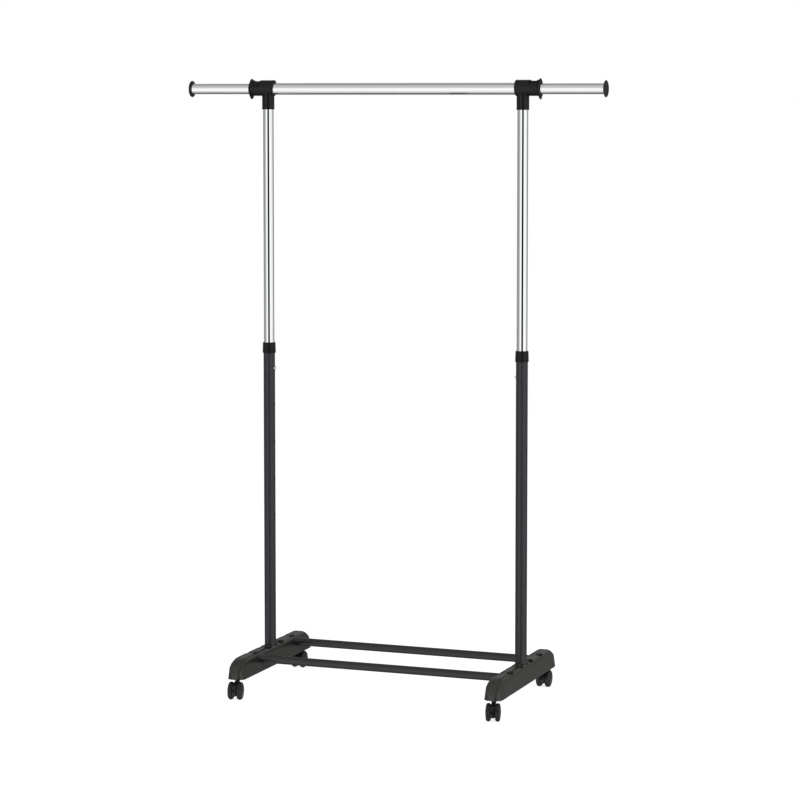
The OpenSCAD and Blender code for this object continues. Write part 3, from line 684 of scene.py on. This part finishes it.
def wing_outline():
    """Round flange with a wing above and below, each rounded through twice wing_turn degrees."""
    root = math.degrees(math.asin(wing_root / flange_r))
    points = []
    for middle in (90, 270):
        tip = (wing_reach - wing_tip) * (1 if middle == 90 else -1)
        points += arc((0, 0), flange_r, middle - 180 + root, middle - root, 26)
        points += arc((0, tip), wing_tip, middle - wing_turn, middle + wing_turn, 12)
    return points


def round_edges(piece, width, segments):
    """Rounds the edges at which the piece turns by more than 50 degrees."""
    apply_modifier(piece, "BEVEL", width=width, segments=segments, limit_method="ANGLE",
                   angle_limit=math.radians(50))


# the ring is bored only when it is whole, because a ready-made bore would share the cutter's face
lock = turned("twist_lock",
              ring_outline(0, hub_r, -flange_start - past, -hub_start, 0.8 * mm), "X")
flange = prism("flange", wing_outline(), -flange_end, -flange_start)
round_edges(flange, 0.9 * mm, 3)
join(lock, flange)
cut(lock, rod("passage", passage_r, (-flange_end - past, 0, 0), (0, 0, 0), 96))
for sign in (-1, 1):
    dimple = sign * (wing_reach - dimple_inset)
    for face, way in ((-flange_end, 1), (-flange_start, -1)):
        bpy.ops.mesh.primitive_uv_sphere_add(radius=dimple_r, segments=24, ring_count=16,
                                             location=(face - way * dimple_lift, 0, dimple))
        cut(lock, bpy.context.object)
smooth(lock, 34)
black_nylon = moulded_plastic("satin_moulded_nylon", "#101010", "#1a1a1a", 12 * mm,
                              (0.30, 0.42), 1.2 * mm, 0.05 * mm, 0.32)
for side_name, sign in hands:
    node = "twist_lock_" + side_name
    piece = settle(twin(lock, "twist_lock_ring_" + side_name), (sign * upright_x, 0, bar_axis),
                   turn=math.pi if sign > 0 else 0)
    dress(piece, node, "fitting_plastic", black_nylon, node)
bpy.data.objects.remove(lock)

# ---------------------------------------------------------------------------------------------
# Lock collars
# A black ABS collar pressed on the top of each lower tube, a little wider at its bottom, with a
# chamfered top that closes round the chromed tube.
collar_low, collar_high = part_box("lock_collar_left")
collar_r = (collar_high.x - collar_low.x) / 2
collar_tall = collar_high.z - collar_low.z
collar_lip = 4.5 * mm
collar_bore = upper_r + 0.08 * mm
collar = turned("collar", [
    (tube_r + snug, 0), (collar_r - 0.5 * mm, 0), (collar_r, 0.5 * mm), (collar_r, 1.6 * mm),
    (collar_r - 0.35 * mm, 2.2 * mm), (collar_r - 1.0 * mm, collar_tall - 3.2 * mm),
    (collar_r - 1.35 * mm, collar_tall - 1.4 * mm), (collar_r - 2.0 * mm, collar_tall - 0.4 * mm),
    (collar_r - 2.8 * mm, collar_tall), (collar_bore, collar_tall),
    (collar_bore, collar_tall - collar_lip), (tube_r + snug, collar_tall - collar_lip)])
smooth(collar, 30)
for side_name, sign in hands:
    piece = settle(twin(collar, "collar_moulding_" + side_name),
                   (sign * upright_x, 0, collar_low.z))
    dress(piece, "base", "fitting_plastic", black_abs, "lock_collar_" + side_name)
bpy.data.objects.remove(collar)

# ---------------------------------------------------------------------------------------------
# End caps
# A mushroom-shaped black nylon cap plugs each extension bar: a thin head with a rounded rim, a
# shallow dish in its face and a hollow plug behind it.
cap_low, cap_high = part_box("end_cap_right")
cap_r = (cap_high.y - cap_low.y) / 2
cap_face = cap_high.x - cap_low.x
cap_thick = 5.5 * mm
cap_back = cap_face - cap_thick
plug_r = 13.3 * mm
plug_bore = plug_r - 3 * mm
rim_round = 1.6 * mm
bar_end = cap_back + 3 * mm
plug_outline = [
    (0, cap_back + 1.5 * mm), (plug_bore, cap_back + 1.5 * mm), (plug_bore, 0),
    (plug_r - 0.6 * mm, 0), (plug_r, 0.8 * mm), (plug_r, bar_end),
    (upper_r + snug, bar_end), (upper_r + snug, cap_back), (upper_r + 1.5 * mm, cap_back)]
rim_outline = arc((cap_r - rim_round, cap_face - 1.7 * mm), rim_round, -75, 75, 8)
dish_outline = [
    (cap_r - 4.5 * mm, cap_face), (cap_r - 5.6 * mm, cap_face - 0.2 * mm),
    (cap_r - 6.4 * mm, cap_face - 0.8 * mm), (cap_r - 9 * mm, cap_face - 1.1 * mm),
    (cap_r - 15 * mm, cap_face - 1.4 * mm), (0, cap_face - 1.5 * mm)]
cap = turned("cap", plug_outline + rim_outline + dish_outline, "X")
smooth(cap, 30)
for side_name, sign in hands:
    piece = settle(twin(cap, "cap_moulding_" + side_name), (sign * abs(cap_low.x), 0, bar_axis),
                   turn=0 if sign > 0 else math.pi)
    dress(piece, "extension_" + side_name, "fitting_plastic", black_nylon, "end_cap_" + side_name)
bpy.data.objects.remove(cap)

# ---------------------------------------------------------------------------------------------
# Snap buttons
# A strip of spring steel bent to a V inside each upper tube, with a domed button on its inboard leg
# that stands out through both tubes. Both are as bright as the chrome and share its material.
clip_low, clip_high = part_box("snap_clip_left")
button_r = 4 * mm
dome_round = 2.2 * mm
strip_thick, strip_wide = 0.8 * mm, 9 * mm
button_axis = clip_low.z + button_r + 3 * mm
button_tip = clip_high.x + upright_x
leg = clip_low.x + upright_x
button_root = -leg - 0.4 * mm
# heights from the button's axis: the legs' lower ends, where they start to lean, and the bend
leg_end, leg_knee = -7 * mm, 8 * mm
bend_top = clip_high.z - button_axis
bend_r = 1.6 * mm
bend_axis = bend_top - bend_r
straight_below = 10 * mm
button = turned("button", [(0, button_root), (button_r, button_root)]
                + arc((button_r - dome_round, button_tip - dome_round), dome_round, 0, 90, 8)
                + [(0, button_tip)], "X", 48)
smooth(button, 40)
outer_strip = ([(-leg, leg_end), (-leg, leg_knee), (bend_r, bend_axis)]
               + arc((0, bend_axis), bend_r, 20, 160, 6)
               + [(-bend_r, bend_axis), (leg, leg_knee), (leg, leg_end)])
inner_strip = [(u - math.copysign(strip_thick, u), v) if v < straight_below
               else (u * 0.5, v - strip_thick * 1.2)
               for u, v in reversed(outer_strip)]
strip = prism("strip", outer_strip + inner_strip, -strip_wide / 2, strip_wide / 2)
strip = settle(strip, turn=-math.pi / 2)
round_edges(strip, 0.12 * mm, 2)
smooth(strip, 40)
for side_name, sign in hands:
    turn = 0 if sign < 0 else math.pi
    place = (sign * upright_x, 0, button_axis)
    piece = settle(twin(button, "button_dome_" + side_name), place, turn=turn)
    dress(piece, "snap_button_" + side_name, "spring_steel", chrome, "snap_clip_" + side_name)
    piece = settle(twin(strip, "spring_strip_" + side_name), place, turn=turn)
    dress(piece, "top_frame", "spring_steel", chrome)
    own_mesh(piece)
bpy.data.objects.remove(button)
bpy.data.objects.remove(strip)

# ---------------------------------------------------------------------------------------------
# Caster wheels
# Twin wheels moulded in black nylon: a crowned tread with rounded shoulders, a groove inside the
# rim, a domed cover on the outer face, and ribs in the dish of the inner face.
wheel_low, wheel_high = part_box("right_wheel_rr")
wheel_r = (wheel_high.z - wheel_low.z) / 2
wheel_axis = (wheel_low.z + wheel_high.z) / 2
wheel_inner = wheel_low.x - upright_x
trail = stem_line - (wheel_low.y + wheel_high.y) / 2
tread_wide = 12 * mm
rim_r = wheel_r - 5.5 * mm
shoulder_r = 5 * mm
axle_bore, bore_deep = 2.58 * mm, 11 * mm
hub_wall = 6 * mm
dish = 4 * mm
cover_r, cover_rise = rim_r - 2.4 * mm, 2.3 * mm
inner_face = [
    (0, bore_deep), (axle_bore, bore_deep), (axle_bore, 0), (hub_wall - 0.4 * mm, 0),
    (hub_wall, 0.4 * mm), (hub_wall, dish), (rim_r - 0.8 * mm, dish), (rim_r, dish - 0.8 * mm),
    (rim_r, 0.3 * mm), (rim_r + 0.3 * mm, 0)]
tread = (arc((wheel_r - shoulder_r, shoulder_r), shoulder_r, -90, -12, 8)
         + [(wheel_r - 0.02 * mm, tread_wide / 2)]
         + arc((wheel_r - shoulder_r, tread_wide - shoulder_r), shoulder_r, 12, 90, 8))
rim_groove = [
    (rim_r + 0.5 * mm, tread_wide), (rim_r, tread_wide - 0.2 * mm),
    (rim_r - 0.5 * mm, tread_wide - 0.9 * mm), (rim_r - 1.6 * mm, tread_wide - 0.9 * mm),
    (rim_r - 2.0 * mm, tread_wide - 0.4 * mm)]
cover = [(cover_r * i / 8, tread_wide + cover_rise * (1 - (i / 8) ** 2)) for i in range(8, -1, -1)]
wheel = turned("wheel", inner_face + tread + rim_groove + cover, "X")
# ribs as spokes in the dish, sunk into the hub, the rim and the dish's floor
rib_count, rib_turn = 6, 15
rib_half = 0.6 * mm
for step in range(rib_count):
    rib = block("rib", (rib_half, -rib_half, hub_wall - rib_half),
                (dish + 0.5 * mm, rib_half, rim_r + rib_half))
    rib.rotation_euler = (math.radians(360 / rib_count * step + rib_turn), 0, 0)
    join(wheel, rib)
smooth(wheel, 32)
wheel_nylon = moulded_plastic("moulded_wheel_nylon", "#101010", "#1b1b1b", 10 * mm,
                              (0.18, 0.28), 1.4 * mm, 0.06 * mm, 0.50)
spin_axis = {joint["child"]: joint["axis"] for joint in frame["record"]["behaviour"]["joints"]}
corners = {"fl": (-1, -1), "fr": (1, -1), "rl": (-1, 1), "rr": (1, 1)}


def at_caster(piece, corner):
    """Moves a piece from a stem's axis at the origin to its caster, turned as that stands."""
    side, end = corners[corner]
    axis = spin_axis["left_wheel_" + corner]
    return settle(piece, (side * upright_x, end * stem_line, 0),
                  turn=math.atan2(axis[1], axis[0]))


for corner in corners:
    for hand, way in hands:
        node = hand + "_wheel_" + corner
        piece = settle(twin(wheel, "wheel_moulding_" + hand + "_" + corner),
                       (way * wheel_inner, -trail, wheel_axis), turn=0 if way > 0 else math.pi)
        dress(at_caster(piece, corner), node, "wheel_nylon", wheel_nylon, node)
bpy.data.objects.remove(wheel)

# ---------------------------------------------------------------------------------------------
# Caster bodies
# A hooded web of black nylon between each pair of wheels, with two windows that lighten the hood,
# and a boss round the stem. The hood is cut off low down, half way from the axle to the floor.
body_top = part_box("caster_body_rr")[1].z
hood_r = wheel_r - 2 * mm
web_gap = 0.7 * mm
hood_half = wheel_inner - web_gap
hood_cut = wheel_axis / 2
hood_top = body_top - 1.4 * mm
boss_r = 6.75 * mm
stem_r = 4.75 * mm
stem_foot = 29 * mm
window_wall = 1.5 * mm
window_near, window_far, window_half = 15 * mm, 30 * mm, 3.5 * mm
axle_hole_r, axle_reach = 2.6 * mm, 20 * mm
low_angle = math.degrees(math.asin((wheel_axis - hood_cut) / hood_r))
hood = prism("hood", arc((-trail, wheel_axis), hood_r, 180 + low_angle, 92, 22)
             + [(-trail + 4 * mm, hood_top), (boss_r - 2 * mm, hood_top),
                (boss_r, body_top - 3.4 * mm), (boss_r, wheel_axis + 4 * mm),
                (boss_r - 2 * mm, wheel_axis)]
             + arc((-trail, wheel_axis), hood_r, -4, -low_angle, 6), -hood_half, hood_half)
round_edges(hood, 1.0 * mm, 3)
join(hood, turned("boss", ring_outline(3 * mm, boss_r, body_top - 2.2 * mm, body_top, 0.7 * mm)))
# one window high up in the hood, and one behind the wheels' axle
for angle in (118, 172):
    window = block("window", (window_wall - hood_half, window_near, -window_half),
                   (hood_half - window_wall, window_far, window_half))
    window.rotation_euler = (math.radians(angle), 0, 0)
    window.location = (0, -trail, wheel_axis)
    cut(hood, window)
cut(hood, rod("axle_hole", axle_hole_r, (-axle_reach, -trail, wheel_axis),
              (axle_reach, -trail, wheel_axis), 48))
cut(hood, rod("stem_hole", stem_r + snug, (0, 0, stem_foot - snug), (0, 0, body_top + past), 64))
smooth(hood, 34)
caster_nylon = moulded_plastic("moulded_caster_nylon", "#101010", "#1e1e1e", 10 * mm,
                               (0.20, 0.32), 1.4 * mm, 0.06 * mm, 0.46)
for corner in corners:
    piece = at_caster(twin(hood, "caster_hood_" + corner), corner)
    dress(piece, "caster_" + corner, "caster_nylon", caster_nylon, "caster_body_" + corner)
bpy.data.objects.remove(hood)

# ---------------------------------------------------------------------------------------------
# Inner plastic
# Black nylon: the sleeves of the caster stems, and the plugs and guides pushed into the tubes.
inner_nylon = moulded_plastic("moulded_black_nylon", "#121212", "#1a1a1a", 12 * mm,
                              (0.36, 0.48), 1.0 * mm, 0.06 * mm, 0.36)
for node in frame["nodes"]:
    if node.startswith(("tube_plug", "tube_guide", "bar_guide", "stem_sleeve")):
        repaint(node, inner_nylon)

# ---------------------------------------------------------------------------------------------
# Screws, bolts, stems and axles
# Cold-headed and turned steel, zinc plated and passivated black, with the fine roughness that
# plating leaves.
steel, zinc = new_material("black_zinc_plated_steel")
place = add_node(zinc, "TexCoord").outputs["Object"]
# the passivation is uneven, in clouds of about 6 mm with a faint bronze cast
clouds = add_node(zinc, "TexNoise", {
    "Vector": place, "Scale": 1 / (6 * mm), "Detail": 5, "Roughness": 0.65}).outputs[0]
tint = add_node(zinc, "MixRGB", {
    "Fac": clouds, "Color1": linear("#2a2b2e"), "Color2": linear("#45423d")}).outputs[0]
dull = add_node(zinc, "MapRange", {"Value": clouds, "To Min": 0.32, "To Max": 0.5}).outputs[0]
# the roughness is drawn 0.5 mm apart so that it shows
pits = add_node(zinc, "TexNoise", {
    "Vector": place, "Scale": 1 / (0.5 * mm), "Detail": 1}).outputs[0]
relief = add_node(zinc, "Bump", {
    "Height": pits, "Distance": 0.02 * mm, "Strength": 0.5}).outputs[0]
metal = add_node(zinc, "BsdfPrincipled", {
    "Base Color": tint, "Metallic": 1.0, "Roughness": dull, "Normal": relief}).outputs[0]
add_node(zinc, "OutputMaterial", {"Surface": metal})
for node in frame["nodes"]:
    if node.startswith(("rail_screws", "foot_bolts", "caster_stem", "grip_ring", "axle")):
        repaint(node, steel)
